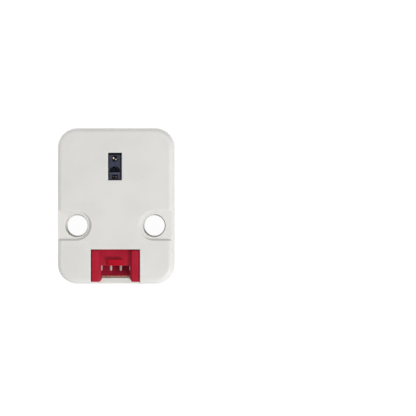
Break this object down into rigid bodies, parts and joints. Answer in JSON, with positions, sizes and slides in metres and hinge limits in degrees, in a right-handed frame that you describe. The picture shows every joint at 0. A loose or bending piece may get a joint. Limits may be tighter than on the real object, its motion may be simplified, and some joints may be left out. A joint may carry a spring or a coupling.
{
  "type": "pulse oximeter sensor module",
  "caption": "Small moulded case with an optical pulse sensor behind a window, a plug socket at the end and through bores for fastening.",
  "frame": {"origin": "middle of the rear face, at the bottom centre of the bounding box", "axes": "+Z out of the front face with the sensor window, +Y from the plug socket to the window, +X to the right seen from the front"},
  "size_m": [0.024, 0.032, 0.008],
  "materials": {
    "case_plastic": "fine matt moulded",
    "connector_plastic": "satin moulded",
    "tinned_metal": "bright tin plate",
    "gold_plating": "gold flash",
    "screw_steel": "nickel plated",
    "board_laminate": "black solder mask on glass laminate",
    "black_plastic": "matt moulded",
    "package_mould": "satin bluish black moulding compound",
    "clear_resin": "clear cast resin",
    "emitter_die": "bright metallised die",
    "silicon_die": "polished silicon",
    "capacitor_ceramic": "fired ceramic with tinned ends",
    "resistor_ceramic": "glazed ceramic with tinned ends"
  },
  "bodies": {
    "root": {"front_cover": "case_plastic", "rear_cover": "case_plastic", "connector_housing": "connector_plastic", "contact_1": "tinned_metal", "contact_2": "tinned_metal", "contact_3": "tinned_metal", "contact_4": "tinned_metal", "anchor_left": "tinned_metal", "anchor_right": "tinned_metal", "led_regulator_legs": "tinned_metal", "logic_regulator_legs": "tinned_metal", "clock_shifter_legs": "tinned_metal", "data_shifter_legs": "tinned_metal", "link_pin_1": "gold_plating", "link_pin_2": "gold_plating", "link_pin_3": "gold_plating", "link_pin_4": "gold_plating", "link_pin_5": "gold_plating", "link_pin_6": "gold_plating", "case_screw": "screw_steel", "main_board": "board_laminate", "sensor_board": "board_laminate", "sensor_substrate": "board_laminate", "link_strip_left": "black_plastic", "link_strip_right": "black_plastic", "led_regulator": "black_plastic", "logic_regulator": "black_plastic", "clock_shifter": "black_plastic", "data_shifter": "black_plastic", "sensor_body": "package_mould", "emitter_window": "clear_resin", "detector_window": "clear_resin", "reference_window": "clear_resin", "red_led": "emitter_die", "infrared_led": "emitter_die", "photodiode": "silicon_die", "signal_chip": "silicon_die", "led_supply_capacitor_in": "capacitor_ceramic", "led_supply_capacitor_out": "capacitor_ceramic", "logic_supply_capacitor_in": "capacitor_ceramic", "logic_supply_capacitor_out": "capacitor_ceramic", "emitter_capacitor": "capacitor_ceramic", "sensor_capacitor": "capacitor_ceramic", "clock_pull_up_plug_side": "resistor_ceramic", "clock_pull_up_sensor_side": "resistor_ceramic", "data_pull_up_plug_side": "resistor_ceramic", "data_pull_up_sensor_side": "resistor_ceramic", "interrupt_pull_up": "resistor_ceramic"}
  },
  "joints": []
}
